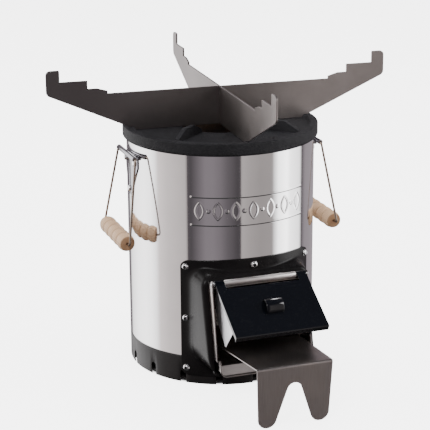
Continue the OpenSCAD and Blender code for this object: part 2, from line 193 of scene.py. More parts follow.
table_glow = 4.5
painted_shadow_full_r, painted_shadow_end_r = 0.117, 0.124
paper = Finish("table_paper", Roughness=0.9)
paper.set("Base_Color", paper.mix(paper.noise(paper.place, 3.0),
                                  (0.93, 0.93, 0.93), (0.96, 0.96, 0.955)))
east_west, north_south = paper.split()[:2]
from_axis = paper.maths("SQRT", east_west * east_west + north_south * north_south)
# painted shadow: the glow is black in a disc under the stove and fades up to full at its edge
paper.set("Emission_Color", paper.mix(paper.step(from_axis, painted_shadow_full_r, painted_shadow_end_r),
                                      (0.0, 0.0, 0.0), (1.0, 1.0, 1.0)))
paper.set("Emission_Strength", table_glow)
paper.on(table)

world = bpy.data.worlds.new("studio")
bpy.context.scene.world = world
world.use_nodes = True
room = Nodes(world.node_tree)
heading = room.node("TexCoord", 0)
apart = room.node("SeparateXYZ", Vector=heading)
east, north, up = (Socket(room, apart.link.node.outputs[n]) for n in range(3))
# panels round the room: degrees to the right of the camera's line, brightness, tint
white, rose, plum = (1.0, 0.985, 0.99), (1.0, 0.905, 0.89), (1.0, 0.88, 0.955)
panels = [
    (-180, 0.48, plum), (-154, 0.16, plum), (-148, 1.9, white), (-125, 3.0, white),
    (-108, 3.2, white), (-96, 2.8, white), (-88, 2.1, white), (-82, 1.2, rose),
    (-68, 0.92, rose), (-43.5, 0.70, rose), (-41, 0.11, plum), (-36, 0.09, plum),
    (-28, 0.165, plum), (-18, 0.26, plum), (-9, 0.26, plum), (0, 0.215, plum),
    (8, 0.15, plum), (15, 0.115, plum), (20, 0.085, plum), (24, 0.09, plum),
    (25.5, 0.56, rose), (35, 0.47, rose), (50, 0.40, rose), (66, 0.43, rose),
    (73, 2.2, white), (75, 3.1, white), (89, 4.4, white), (95, 3.0, white),
    (113, 2.1, white), (118, 0.11, plum), (127, 0.35, plum), (180, 0.48, plum)]
stops = [((degrees + 180) / 360, tuple(value * c for c in tint))
         for degrees, value, tint in panels]
ceiling, underfoot = (0.06, 0.06, 0.07), (0.05, 0.05, 0.05)
angle = room.maths("ARCTAN2", east, north * -1)
turn = angle / (2 * math.pi) + (0.5 - camera_turn / (2 * math.pi))
turn = room.maths("FRACT", turn)
bands = room.node("ValToRGB", settings={"stops": stops}, Fac=turn)
light = room.mix(room.step(up, 0.40, 0.80), bands, ceiling)
light = room.mix(room.step(up, -0.42, -0.62), light, underfoot)
sky = room.node("Background", Color=light, Strength=1.0)
world_out = room.tree.nodes.new("ShaderNodeOutputWorld")
room.tree.links.new(sky.link, world_out.inputs[0])

for name, place, aim, size, power in (
        ("key_softbox", (-1.6, -1.9, 2.2), (0, 0, 0.15), 1.4, 50),
        ("fill_softbox", (2.2, -1.2, 1.6), (0, 0, 0.15), 1.4, 26),
        ("top_softbox", (0.2, 0.4, 2.6), (0, 0, 0.2), 2.2, 45)):
    lamp = bpy.data.lights.new(name, "AREA")
    lamp.shape = "SQUARE"
    lamp.size = size
    lamp.energy = power
    holder = bpy.data.objects.new(name, lamp)
    bpy.context.scene.collection.objects.link(holder)
    holder.location = place
    line_of_aim = Vector(aim) - Vector(place)
    holder.rotation_euler = line_of_aim.to_track_quat("-Z", "Y").to_euler()
    holder.visible_glossy = name != "top_softbox"

# ---------- the drum: polished casing ----------
# Rolled from 1 mm stainless sheet, polished like a mirror, and closed at the back
# with a flat lock seam. A row of leaf outlines and studs between two ribs is pressed
# into its front, and the feed tunnel passes through a window low in the same side.

drum_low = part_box("outer_casing")[0][2]
drum_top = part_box("outer_casing")[1][2]
drum_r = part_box("outer_casing")[1][0]
half_turn = math.pi * drum_r
leaf_pitch = 0.0236
leaf_z = 0.24015
leaf_half, leaf_high = 0.0066, 0.0128
stud_r = 0.0030
rib_heights = (0.2215, 0.2588)
rib_half, rib_reach = 0.0015, 0.0835
pressed_depth = 0.00055
seam_half = 0.0045
seam_depth = 0.0007
window_half, window_top = 0.070, 0.152
hem = 0.0015


def eased(value, low, high):
    """0 below low, 1 above high, smooth between."""
    t = min(max((value - low) / (high - low), 0.0), 1.0)
    return t * t * (3 - 2 * t)


def relief(along, z):
    """How far the sheet stands proud at a distance round the drum and a height."""
    proud = 0.0
    rise = z - leaf_z
    for n in range(-3, 4):
        inside = leaf_half * (1 - (rise / leaf_high) ** 2) - abs(along - n * leaf_pitch)
        proud = max(proud, eased(inside, 0.0, 0.0010) - eased(inside, 0.0018, 0.0028))
        stud = math.hypot(along - (n + 0.5) * leaf_pitch, rise) if n < 3 else 1.0
        proud = max(proud, eased(stud_r - stud, 0.0, 0.0012))
    for height in rib_heights:
        across = eased(rib_half - abs(z - height), 0.0, 0.0011)
        proud = max(proud, across * eased(rib_reach - abs(along), 0.0, 0.003))
    seam = eased(abs(along) - (half_turn - seam_half), 0.0, 0.0008)
    return proud * pressed_depth + seam * seam_depth


def spaced(low, high, gap):
    """Even steps from low up to, but without, high."""
    count = max(1, round((high - low) / gap))
    return [low + (high - low) * n / count for n in range(count)]


# close columns and rows where the sheet is pressed, wide ones elsewhere
pressed_half, seam_start = 0.087, half_turn - 0.0056
pressed_low, pressed_top = 0.218, 0.2625
half_columns = (spaced(0.0, pressed_half, 0.0008) + spaced(pressed_half, seam_start, 0.0045)
                + spaced(seam_start, half_turn, 0.0007) + [half_turn])
columns = [-a for a in reversed(half_columns[1:])] + half_columns
rows = ([drum_low, drum_low + 0.0005, drum_low + hem]
        + spaced(drum_low + 0.003, pressed_low, 0.012)
        + spaced(pressed_low, pressed_top, 0.0008)
        + spaced(pressed_top, drum_top, 0.012) + [drum_top])
bpy.ops.mesh.primitive_grid_add(x_subdivisions=len(columns) - 1,
                                y_subdivisions=len(rows) - 1, size=1)
casing = bpy.context.active_object
casing.name = "polished_casing"
for corner in casing.data.vertices:
    along = columns[round((corner.co.x + 0.5) * (len(columns) - 1))]
    z = rows[round((corner.co.y + 0.5) * (len(rows) - 1))]
    turned_in = 0.0006 * eased(drum_low + hem - z, 0.0, hem)
    r = drum_r + relief(along, z) - turned_in
    corner.co = (r * math.sin(along / drum_r), -r * math.cos(along / drum_r), z)


def edit(piece, mode="VERT"):
    """Opens one piece for editing with nothing selected."""
    bpy.ops.object.select_all(action="DESELECT")
    bpy.context.view_layer.objects.active = piece
    piece.select_set(True)
    bpy.ops.object.mode_set(mode="EDIT")
    bpy.ops.mesh.select_mode(type=mode)
    bpy.ops.mesh.select_all(action="DESELECT")


def pick(piece, test, kind="faces"):
    """Selects the faces or edges whose middle passes a test."""
    shape = bmesh.from_edit_mesh(piece.data)
    for part in getattr(shape, kind):
        if kind == "faces":
            middle = part.calc_center_median()
        else:
            middle = (part.verts[0].co + part.verts[1].co) / 2
        part.select_set(test(middle))
    bmesh.update_edit_mesh(piece.data)


def apply(piece, kind, **settings):
    """Adds a modifier with its settings and applies it."""
    bpy.ops.object.select_all(action="DESELECT")
    bpy.context.view_layer.objects.active = piece
    piece.select_set(True)
    modifier = piece.modifiers.new(kind.lower(), kind)
    for name, value in settings.items():
        setattr(modifier, name, value)
    bpy.ops.object.modifier_apply(modifier=modifier.name)


def smooth(piece, degrees=35):
    """Shades a piece smooth except across its sharp edges."""
    bpy.ops.object.select_all(action="DESELECT")
    bpy.context.view_layer.objects.active = piece
    piece.select_set(True)
    bpy.ops.object.shade_smooth_by_angle(angle=math.radians(degrees))


edit(casing, "FACE")
pick(casing, lambda m: m.y < 0 and abs(m.x) < window_half and m.z < window_top)
bpy.ops.mesh.delete(type="FACE")
bpy.ops.mesh.select_all(action="SELECT")
bpy.ops.mesh.remove_doubles(threshold=0.00005)
bpy.ops.object.mode_set(mode="OBJECT")
apply(casing, "SOLIDIFY", thickness=0.001, offset=-1.0)
smooth(casing, 50)
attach(casing, "stove")
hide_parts("outer_casing")

mirror = Finish("polished_steel", Metallic=1.0)
polish = mirror.noise(mirror.stretched(mirror.place, 1, 1, 60), 22.0, 5.0, 0.65)
wipes = mirror.noise(mirror.place, 14.0, 4.0, 0.6)
mirror.set("Base_Color", mirror.mix(mirror.step(wipes, 0.35, 0.7),
                                    (0.90, 0.895, 0.90), (0.95, 0.945, 0.95)))
mirror.set("Roughness", 0.045 + mirror.step(polish, 0.3, 0.8) * 0.05
           + mirror.step(wipes, 0.5, 0.75) * 0.045)
mirror.bump(mirror.noise(mirror.stretched(mirror.place, 1, 1, 0.25), 9.0, 1.0), 0.00035)
mirror.on(casing)


# ---------- the base: ring, bottom plate and feet ----------
# The ring is spun from sheet steel with open-bottomed air slots and painted satin
# black. A pressed plate with a standing bead closes it below, and three rubber pads
# stand between the bead and the ring.

def softened(name, node, width, body, level=False, fold=None):
    """A copy of a CAD node with rounded edges.

    level keeps flat faces flat, and fold is the (y, z) of one bend that is wider.
    """
    source = nodes[node]
    piece = source.copy()
    piece.data = source.data.copy()
    piece.name = name
    bpy.context.scene.collection.objects.link(piece)
    edit(piece)
    bpy.ops.mesh.select_all(action="SELECT")
    bpy.ops.mesh.remove_doubles(threshold=0.000004)
    bpy.ops.mesh.dissolve_limited(angle_limit=math.radians(0.5))
    if fold:
        bpy.ops.mesh.select_mode(type="EDGE")
        y, z = fold
        pick(piece, lambda m: math.hypot(m.y - y, m.z - z) < 0.0008, "edges")
        bpy.ops.mesh.bevel(offset=0.0021, segments=5, affect="EDGES")
    bpy.ops.object.mode_set(mode="OBJECT")
    apply(piece, "BEVEL", width=width, segments=2, limit_method="ANGLE",
          angle_limit=math.radians(28))
    smooth(piece)
    if level:
        apply(piece, "WEIGHTED_NORMAL", keep_sharp=True)
    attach(piece, body)
    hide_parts(node)
    return piece


base = softened("base_ring_shell", "base_ring", 0.0003, "stove")


def satin_paint(name, colour, gloss):
    """Baked satin paint with a fine orange peel, paler and duller where dust clings."""
    paint = Finish(name)
    dust = paint.noise(paint.place, 26.0, 5.0, 0.6)
    peel = paint.noise(paint.place, 900.0, 2.0)
    low = tuple(c * 0.9 for c in colour)
    high = tuple(c * 1.15 + 0.0008 for c in colour)
    paint.set("Specular_IOR_Level", 0.3)
    paint.set("Base_Color", paint.mix(paint.step(dust, 0.3, 0.75), low, high))
    paint.set("Roughness", gloss + paint.step(dust, 0.3, 0.8) * 0.035 + (peel - 0.5) * 0.04)
    paint.bump(peel, 0.00002)
    return paint


satin = satin_paint("satin_black", (0.0145, 0.0130, 0.0132), 0.36)
satin.on(base, nodes["bottom_plate"])
rubber = Finish("foot_rubber")
rubber_grain = rubber.noise(rubber.place, 700.0, 3.0)
rubber.set("Base_Color", rubber.mix(rubber_grain, (0.012, 0.012, 0.012), (0.03, 0.03, 0.029)))
rubber.set("Roughness", 0.7 + rubber_grain * 0.2)
rubber.bump(rubber_grain, 0.0001)
rubber.on(nodes["foot_pads"])


# ---------- inside: floor, burn chamber, flue, wool and cover ----------
# The fire burns in a welded stainless pot with a flue pipe on its shoulder. Ceramic
# wool fills the drum round it, under a cover plate and on a floor plate.

def sheet_steel(name, colour, gloss, grain, heat=0.0):
    """Stainless sheet with a brushed grain, as scales along x, y and z, and some heat tint."""
    steel = Finish(name, Metallic=1.0)
    lines = steel.noise(steel.stretched(steel.place, *grain), 1.0, 3.0, 0.7)
    cloud = steel.noise(steel.place, 18.0, 4.0, 0.6)
    low = tuple(c * 0.86 for c in colour)
    tone = steel.mix(steel.step(lines, 0.25, 0.75), low, colour)
    if heat:
        tint = steel.step(cloud, 0.42, 0.7) * heat
        tone = steel.mix(tint, tone, (0.40, 0.27, 0.17))
    steel.set("Base_Color", tone)
    steel.set("Roughness", gloss + (lines - 0.5) * 0.16 + steel.step(cloud, 0.4, 0.75) * 0.07)
    steel.bump(lines, 0.00003)
    return steel


sooted = sheet_steel("sooted_steel", (0.20, 0.18, 0.17), 0.42, (300, 300, 1400), 0.5)
sooted.on(nodes["burn_chamber"], nodes["flue_pipe"])
plain_sheet = sheet_steel("plain_sheet", (0.55, 0.53, 0.52), 0.32, (900, 60, 60))
plain_sheet.on(nodes["inner_floor"], nodes["cover_plate"])
wool = Finish("ceramic_wool", Roughness=0.95)
fibres = wool.noise(wool.stretched(wool.place, 400, 400, 90), 1.0, 6.0, 0.75)
wool.set("Base_Color", wool.mix(fibres, (0.62, 0.59, 0.52), (0.88, 0.86, 0.80)))
wool.bump(fibres, 0.0012)
wool.on(nodes["insulation"])


# ---------- the cooking plate ----------
# Sand-cast iron with a deep skirt, a sunk face, four pot lugs and the flue opening.
# It is seasoned black, and three countersunk screws hold it on the drum.

plate = softened("cooking_plate", "cast_iron_top", 0.0008, "stove")
iron = Finish("cast_iron")
sand = iron.noise(iron.place, 620.0, 4.0, 0.6)
lumps = iron.noise(iron.place, 120.0, 3.0)
season = iron.noise(iron.place, 20.0, 4.0, 0.6)
iron.set("Base_Color", iron.mix(iron.step(season, 0.3, 0.7),
                                (0.015, 0.015, 0.017), (0.030, 0.030, 0.033)))
iron.set("Specular_IOR_Level", 0.16)
iron.set("Roughness", 0.52 + iron.step(season, 0.35, 0.7) * 0.1 + (sand - 0.5) * 0.2)
iron.bump(sand + lumps * 0.6, 0.0013)
iron.on(plate)
satin.on(nodes["top_screws"])


# ---------- the pan support: two slotted blades ----------
# Laser-cut from 2.5 mm sheet steel and halved into each other, so they come apart.
# The faces keep a matt rolled skin, darker towards the fire, with painted shade darkening one side.

lower_blade, upper_blade = (
    softened(which + "_blade", "support_blade_" + which, 0.00045, "pan_support",
             level=True) for which in ("lower", "upper"))
rolled = Finish("blade_steel", Metallic=1.0)
east_west, north_south, high = rolled.split()
reach = rolled.maths("SQRT", east_west * east_west + north_south * north_south)
mill = rolled.noise(rolled.place, 1300.0, 2.0)
smoke = rolled.noise(rolled.place, 16.0, 4.0, 0.6)
warmth = rolled.step(reach + (smoke - 0.5) * 0.05, 0.15, 0.02)
# painted shade: the blades' colour darkens towards -x, where less light falls on them
painted_side_shade = rolled.step(east_west - north_south * 0.3, 0.12, -0.20)
skin = rolled.mix(rolled.step(smoke, 0.3, 0.7),
                  (0.40, 0.365, 0.35), (0.46, 0.42, 0.405))
skin = rolled.mix(painted_side_shade, skin, (0.15, 0.137, 0.139))
rolled.set("Base_Color", rolled.mix(warmth * 0.55, skin, (0.15, 0.135, 0.13)))
rolled.set("Roughness", 0.40 + (mill - 0.5) * 0.14
           + rolled.step(smoke, 0.4, 0.7) * 0.06)
rolled.bump(mill, 0.00004)
rolled.on(lower_blade, upper_blade)


# ---------- the door housing ----------
# Deep-drawn from one sheet: a flange that lies on the drum, soft shoulders, a
# slanted front with a turned-in opening for the feed tunnel, painted satin black.

def rounded(half_w, low, high, low_r, high_r, side_steps=12, arc_steps=8):
    """Points (x, z) round an upright outline with two sizes of corner, anticlockwise."""
    corners = ((half_w - low_r, low + low_r, low_r, -90),
               (half_w - high_r, high - high_r, high_r, 0),
               (high_r - half_w, high - high_r, high_r, 90),
               (low_r - half_w, low + low_r, low_r, 180))
    points = []
    for n, (x, z, r, start) in enumerate(corners):
        for k in range(arc_steps + 1):
            a = math.radians(start + 90 * k / arc_steps)
            points.append(Vector((x + r * math.cos(a), z + r * math.sin(a))))
        x2, z2, r2, start2 = corners[(n + 1) % 4]
        a = math.radians(start2)
        goal = Vector((x2 + r2 * math.cos(a), z2 + r2 * math.sin(a)))
        points += [points[-1].lerp(goal, k / side_steps) for k in range(1, side_steps)]
    return points


def lofted(name, rings, fill=()):
    """Extrudes a closed ring of vertices from one outline to the next, then fills ends."""
    bpy.ops.object.select_all(action="DESELECT")
    bpy.ops.mesh.primitive_circle_add(vertices=len(rings[0]))
    piece = bpy.context.active_object
    piece.name = name
    for corner, place in zip(piece.data.vertices, rings[0]):
        corner.co = place
    edit(piece)
    bpy.ops.mesh.select_all(action="SELECT")
    for last, ring in zip(rings, rings[1:]):
        bpy.ops.mesh.extrude_region()
        shape = bmesh.from_edit_mesh(piece.data)
        order = KDTree(len(last))
        for n, place in enumerate(last):
            order.insert(place, n)
        order.balance()
        for corner in shape.verts:
            if corner.select:
                corner.co = ring[order.find(corner.co)[1]]
        bmesh.update_edit_mesh(piece.data)
    for end in fill:
        shape = bmesh.from_edit_mesh(piece.data)
        known = KDTree(len(rings[end]))
        for n, place in enumerate(rings[end]):
            known.insert(place, n)
        known.balance()
        for corner in shape.verts:
            corner.select_set(known.find(corner.co)[2] < 1e-6)
        shape.select_flush(True)
        bmesh.update_edit_mesh(piece.data)
        bpy.ops.mesh.edge_face_add()
    bpy.ops.mesh.select_all(action="SELECT")
    bpy.ops.mesh.normals_make_consistent(inside=False)
    bpy.ops.object.mode_set(mode="OBJECT")
    return piece


flange_r = drum_r + 0.0016
flange_half, flange_corner_r = 0.089, 0.009
flange_low, flange_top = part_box("door_housing")[0][2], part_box("door_housing")[1][2]
flange_bow, bow_half = 0.003, 0.080
front_slope = math.tan(math.radians(13.5))
front_top_y, front_top_z = -0.1325, 0.158
root_y = -0.098
tunnel_half, tunnel_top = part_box("feed_tunnel")[1][0], 0.1498
tunnel_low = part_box("feed_tunnel")[0][2]


def on_drum(point, r):
    """A point (x, z) carried straight back onto a cylinder round the drum's axis."""
    return Vector((point.x, -math.sqrt(r * r - point.x * point.x), point.y))


def on_front(point):
    """A point (x, z) on the housing's slanted front face."""
    return Vector((point.x, front_top_y - (front_top_z - point.y) * front_slope, point.y))


flange_line = rounded(flange_half, flange_low, flange_top - flange_bow,
                      flange_corner_r, flange_corner_r)
for point in flange_line:
    if point.y > 0.16:
        point.y += flange_bow * max(0.0, 1 - (point.x / bow_half) ** 2)
root_line = [Vector((p.x, root_y, p.y)) for p in rounded(0.080, 0.022, 0.166, 0.040, 0.022)]
front_line = [on_front(p) for p in rounded(0.0735, 0.0317, front_top_z, 0.024, 0.012)]
slack = 0.0002
mouth_line = [on_front(p) for p in rounded(tunnel_half + slack, tunnel_low - slack,
                                           tunnel_top + slack, 0.0055, 0.0012)]
foot_line = []
for root, front in zip(root_line, front_line):
    run = front - root
    a = run.x ** 2 + run.y ** 2
    b = 2 * (root.x * run.x + root.y * run.y)
    c = root.x ** 2 + root.y ** 2 - flange_r ** 2
    foot_line.append(root + run * ((-b + math.sqrt(b * b - 4 * a * c)) / (2 * a)))
rings = [[on_drum(p, flange_r) for p in flange_line]]
count = len(foot_line)
cove_run, corner_run = 0.0075, 0.0062
shoulder, cove, corner_start, corner_end = [], [], [], []
for n in range(count):
    foot, front, mouth = foot_line[n], front_line[n], mouth_line[n]
    along = foot_line[(n + 1) % count] - foot_line[n - 1]
    outward = Vector((along.z, -along.x)).normalized()
    spread = 0.0042 + 0.0026 * (1 - max(outward.y, 0.0))
    shoulder.append(on_drum(Vector((foot.x, foot.z)) + outward * spread, flange_r))
    wall = front - foot
    cove.append(foot + wall.normalized() * min(cove_run, wall.length * 0.35))
    lip = mouth - front
    before = min(corner_run, lip.length * 0.85, wall.length * 0.4)
    corner_start.append(front - wall.normalized() * before)
    corner_end.append(front + lip.normalized() * min(corner_run, lip.length * 0.75))


def swept(start, control, end, steps):
    """Rings that turn smoothly from one outline to another round a third."""
    turned = []
    for k in range(steps + 1):
        t = k / steps
        turned.append([a * (1 - t) ** 2 + b * 2 * t * (1 - t) + c * t * t
                       for a, b, c in zip(start, control, end)])
    return turned


rings.append([a.lerp(b, 0.25) for a, b in zip(rings[0], shoulder)])
rings[-1] = [on_drum(Vector((p.x, p.z)), flange_r) for p in rings[-1]]
rings += swept(shoulder, foot_line, cove, 6)
rings.append([a.lerp(b, 0.5) for a, b in zip(cove, corner_start)])
rings += swept(corner_start, front_line, corner_end, 6)
rings.append([a.lerp(b, 0.97) for a, b in zip(corner_end, mouth_line)])
rings.append([p + Vector((0, 0.0008, 0)) for p in mouth_line])
rings.append([p + Vector((0, 0.006, 0)) for p in mouth_line])
housing = lofted("door_housing_shell", rings)
apply(housing, "SOLIDIFY", thickness=0.0012, offset=-1.0)
apply(housing, "BEVEL", width=0.0003, segments=2, limit_method="ANGLE",
      angle_limit=math.radians(50))
smooth(housing, 40)
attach(housing, "stove")
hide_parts("door_housing")
drawn = satin_paint("drawn_black", (0.0095, 0.0085, 0.0088), 0.27)
drawn.set("Specular_IOR_Level", 0.15)
drawn.on(housing)


# ---------- screws and rivets ----------
# Stainless button screws with a hexagon socket and a thin washer hold the housing,
# and domed rivets hold the handle brackets.

bright = Finish("bright_steel", Metallic=1.0)
scuffs = bright.noise(bright.place, 420.0, 4.0, 0.6)
bright.set("Base_Color", bright.mix(scuffs, (0.84, 0.84, 0.85), (0.96, 0.96, 0.97)))
bright.set("Roughness", 0.13 + bright.step(scuffs, 0.35, 0.8) * 0.18)
bright.bump(scuffs, 0.00003)
# The hexagon sockets take a near-black matt finish: painted shade deep in the recess.
painted_socket_shade = Finish("socket_painted_shade", Roughness=0.8)
painted_socket_shade.set("Base_Color", painted_socket_shade.mix(painted_socket_shade.noise(painted_socket_shade.place, 800.0),
                                (0.004, 0.004, 0.004), (0.012, 0.012, 0.012)))


socket_r = 0.0019


def button(name, places, socket):
    """Copies of one domed head with a washer under it, joined into one piece."""
    turns = [math.tau * k / 24 for k in range(24)]

    def circle(r, z):
        return [Vector((r * math.cos(a), r * math.sin(a), z)) for a in turns]

    def hexagon(r, z):
        ring = []
        for a in turns:
            from_flat = (a / (math.tau / 6)) % 1 - 0.5
            corner_r = r / math.cos(from_flat * math.tau / 6)
            ring.append(Vector((corner_r * math.cos(a), corner_r * math.sin(a), z)))
        return ring

    rings = [circle(0.0046, 0.0), circle(0.0047, 0.0005), circle(0.0045, 0.0008),
             circle(0.0041, 0.0009), circle(0.0041, 0.0013), circle(0.0038, 0.0021),
             circle(0.0032, 0.0027), circle(0.0026, 0.0030)]
    if socket:
        rings += [hexagon(0.0020, 0.0031), hexagon(socket_r, 0.0029), hexagon(socket_r, 0.0012)]
    else:
        rings += [circle(0.0017, 0.0033), circle(0.0008, 0.0034)]
    head = lofted(name, rings, fill=(0, len(rings) - 1))
    smooth(head, 40)
    bright.on(head)
    if socket:
        # the faces inside the hexagon socket take the painted shade
        head.data.materials.append(painted_socket_shade.material)
        for face in head.data.polygons:
            face.material_index = int(math.hypot(face.center.x, face.center.y) < socket_r)
    copies = []
    for place in places:
        twin = head.copy()
        twin.data = head.data.copy()
        bpy.context.scene.collection.objects.link(twin)
        twin.data.transform(place)
        copies.append(twin)
    bpy.data.objects.remove(head)
    bpy.ops.object.select_all(action="DESELECT")
    for twin in copies:
        twin.select_set(True)
    bpy.context.view_layer.objects.active = copies[0]
    bpy.ops.object.join()
    copies[0].name = name
    return copies[0]


def beside_drum(degrees, z, r):
    """Where a head stands on the drum, with its own z axis pointing outwards."""
    return (Matrix.Rotation(math.radians(degrees), 4, "Z") @ Matrix.Translation((0, -r, z))
            @ Matrix.Rotation(math.pi / 2, 4, "X"))


screw_places = [beside_drum(a, z, flange_r)
                for a in (-41, 41) for z in (0.1638, 0.093, 0.0232)]
screw_places += [beside_drum(0, z, flange_r) for z in (0.1668, 0.0200)]
screws = button("housing_button_screws", screw_places, True)
rivet_places = [beside_drum(s * 90 + a, z, drum_r + 0.0015) for s in (-1, 1)
                for a, z in ((0, 0.249), (-8.7, 0.287), (8.7, 0.287))]
rivets = button("bracket_dome_rivets", rivet_places, False)
for piece, node in ((screws, "housing_screws"), (rivets, "bracket_rivets")):
    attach(piece, "stove")
    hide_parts(node)


# ---------- the feed tunnel, hinge and rails ----------
# A welded stainless channel from the housing's mouth to the fire, with a raised ear
# at each end of the door's pin and a brushed sleeve on the pin between the knuckles.

tunnel = softened("feed_tunnel_liner", "feed_tunnel", 0.0003, "stove")
rails = softened("shelf_rail_pair", "shelf_rails", 0.0002, "stove")
heated = sheet_steel("heated_steel", (0.42, 0.40, 0.39), 0.30, (60, 700, 700), 0.35)
heated.on(tunnel, rails)
sleeve = softened("hinge_sleeve_tube", "hinge_sleeve", 0.0003, "stove")
pin = softened("hinge_pin_rod", "hinge_pin", 0.0005, "stove")
tube = sheet_steel("brushed_tube", (0.88, 0.83, 0.81), 0.42, (45, 1500, 1500))
tube.on(sleeve)
bright.on(pin)


# ---------- the feed door ----------
# Folded from 1.2 mm sheet with a lip below, a flange each side and rolled knuckles,
# dipped in black enamel. Side cheeks of bare stainless keep the flames in.

door = softened("feed_door_leaf", "feed_door", 0.0004, "door",
                level=True, fold=(-0.2297, 0.1103))
pull = softened("door_pull_loop", "door_pull", 0.0004, "door")
enamel = Finish("black_enamel", Coat_Roughness=0.03)
flow = enamel.noise(enamel.place, 34.0, 2.0)
ash_dust = enamel.noise(enamel.place, 210.0, 5.0, 0.7)
film = enamel.step(ash_dust, 0.56, 0.78)
enamel.set("Base_Color", enamel.mix(film * 0.35,
                                    (0.0035, 0.0042, 0.0065), (0.030, 0.031, 0.034)))
enamel.set("Roughness", 0.07 + film * 0.16)
enamel.set("Coat_Weight", 0.6 - film * 0.3)
enamel.bump(flow, 0.00035)
enamel.on(door, pull)
cheeks = [softened(side + "_door_cheek", side + "_cheek", 0.0002, "door",
                   level=True) for side in ("left", "right")]
cheek_steel = sheet_steel("cheek_steel", (0.86, 0.85, 0.88), 0.40, (500, 500, 40), 0.05)
cheek_steel.on(*cheeks)


# ---------- the wood shelf ----------
# Cut flat from 1.5 mm sheet, then bent down at the front into an apron that ends in
# two rounded legs. It lies on the tunnel's rails and slides out.

shelf_half = 0.0592
apron_high = 0.0815
shelf_edge = Vector((0, -0.2693, apron_high))
shelf_inner = 0.2173
foot_x, foot_r = 0.0353, 0.0125
arch_z, arch_r = 0.0476, 0.0099
bend_r = 0.0028
run_in = math.radians(6)
lean_in = math.radians(3)
forward = Vector((0, -math.cos(run_in), math.sin(run_in)))
under = Vector((0, -math.sin(run_in), -math.cos(run_in)))
downward = Vector((0, math.sin(lean_in), -math.cos(lean_in)))
bend = math.pi / 2 + run_in + lean_in
tangent = bend_r * math.tan(bend / 2)


def arc(x, y, r, start, end, steps=18):
    """Points (x, y) round part of a circle."""
    angles = [math.radians(start + (end - start) * k / steps) for k in range(steps + 1)]
    return [(x + r * math.cos(a), y + r * math.sin(a)) for a in angles]


# the apron's outline, with its depth below the virtual corner as y
apron = (arc(foot_x, apron_high - foot_r, foot_r, 10, 162)
         + arc(0, apron_high - arch_z, arch_r, -18, -162)
         + arc(-foot_x, apron_high - foot_r, foot_r, 18, 170))
past_bend = bend_r * bend - tangent
# the sides run straight from the inner end to the legs, so the sheet narrows towards
# the bend, where the CAD's shelf keeps its full width
blank = ([(-shelf_half, -shelf_inner + tangent), (shelf_half, -shelf_inner + tangent)]
         + [(x, y + past_bend) for x, y in apron])
drawing = bpy.data.curves.new("shelf_blank", "CURVE")
drawing.dimensions = "2D"
drawing.fill_mode = "BOTH"
line = drawing.splines.new("POLY")
line.points.add(len(blank) - 1)
line.use_cyclic_u = True
for point, (x, y) in zip(line.points, blank):
    point.co = (x, y, 0, 1)
shelf = bpy.data.objects.new("wood_shelf_sheet", drawing)
bpy.context.scene.collection.objects.link(shelf)
bpy.ops.object.select_all(action="DESELECT")
bpy.context.view_layer.objects.active = shelf
shelf.select_set(True)
bpy.ops.object.convert(target="MESH")
edit(shelf)
bpy.ops.mesh.select_all(action="SELECT")
bpy.ops.mesh.remove_doubles(threshold=0.00002)
bpy.ops.mesh.dissolve_limited(angle_limit=math.radians(0.2))
for k in range(9):
    bpy.ops.mesh.select_all(action="SELECT")
    bpy.ops.mesh.bisect(plane_co=(0, bend_r * bend * k / 8, 0), plane_no=(0, 1, 0))
bpy.ops.object.mode_set(mode="OBJECT")
for corner in shelf.data.vertices:
    v = corner.co.y
    if v <= 0:
        place = shelf_edge + forward * (v - tangent)
    elif v >= bend_r * bend:
        place = shelf_edge + downward * (v - bend_r * bend + tangent)
    else:
        turned = v / bend_r
        place = (shelf_edge - forward * tangent + under * bend_r
                 + (forward * math.sin(turned) - under * math.cos(turned)) * bend_r)
    corner.co = Vector((corner.co.x, 0, 0)) + place
edit(shelf)
bpy.ops.mesh.select_all(action="SELECT")
bpy.ops.mesh.normals_make_consistent(inside=False)
bpy.ops.object.mode_set(mode="OBJECT")
widest = max(shelf.data.polygons, key=lambda face: face.area)
if widest.normal.z < -0.5 or widest.normal.y > 0.5:
    shelf.data.flip_normals()
apply(shelf, "SOLIDIFY", thickness=0.0015, offset=-1.0)
apply(shelf, "BEVEL", width=0.0002, segments=2, limit_method="ANGLE",
      angle_limit=math.radians(50))
smooth(shelf, 30)
apply(shelf, "WEIGHTED_NORMAL", keep_sharp=True)
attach(shelf, "shelf")
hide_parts("wood_shelf")
shelf_steel = sheet_steel("shelf_steel", (0.385, 0.348, 0.338), 0.36, (900, 40, 40), 0.10)
shelf_steel.on(shelf)


# ---------- the ash tray ----------
# A shallow folded tray with round lower corners, lying on the tunnel's floor under
# the wood shelf. It slides out at the front to be emptied.

tray = softened("ash_tray_pan", "ash_tray", 0.0003, "ash_drawer",
                level=True)
tray_steel = sheet_steel("tray_steel", (0.82, 0.80, 0.79), 0.36, (60, 900, 900), 0.1)
tray_steel.on(tray)


# ---------- handle brackets ----------
# Pressed and chromed plates, riveted to the drum's sides, whose tops are rolled
# into long knuckles for the bails.

chrome = Finish("chromed_steel", Metallic=1.0)
haze = chrome.noise(chrome.place, 90.0, 4.0, 0.6)
chrome.set("Base_Color", chrome.mix(haze, (0.30, 0.295, 0.32), (0.44, 0.435, 0.46)))
chrome.set("Roughness", 0.07 + chrome.step(haze, 0.4, 0.75) * 0.12)
chrome.bump(haze, 0.00006)
chrome.on(*(softened(side + "_handle_bracket", side + "_bracket", 0.00035, "stove") for side in ("left", "right")))


# ---------- wire bails and turned grips ----------
# Each bail is one loop of 3 mm nickelled wire with bent corners, free to swing in its
# bracket. Its lower side runs through the bore of a beech grip turned with five beads.

pivot_x, pivot_z = 0.131, 0.297
lean = math.radians(8.4)
bail_drop = 0.1104
bail_top_half, bail_low_half = 0.039, 0.0595
bail_bend_r = 0.0038
wire_r = 0.0015


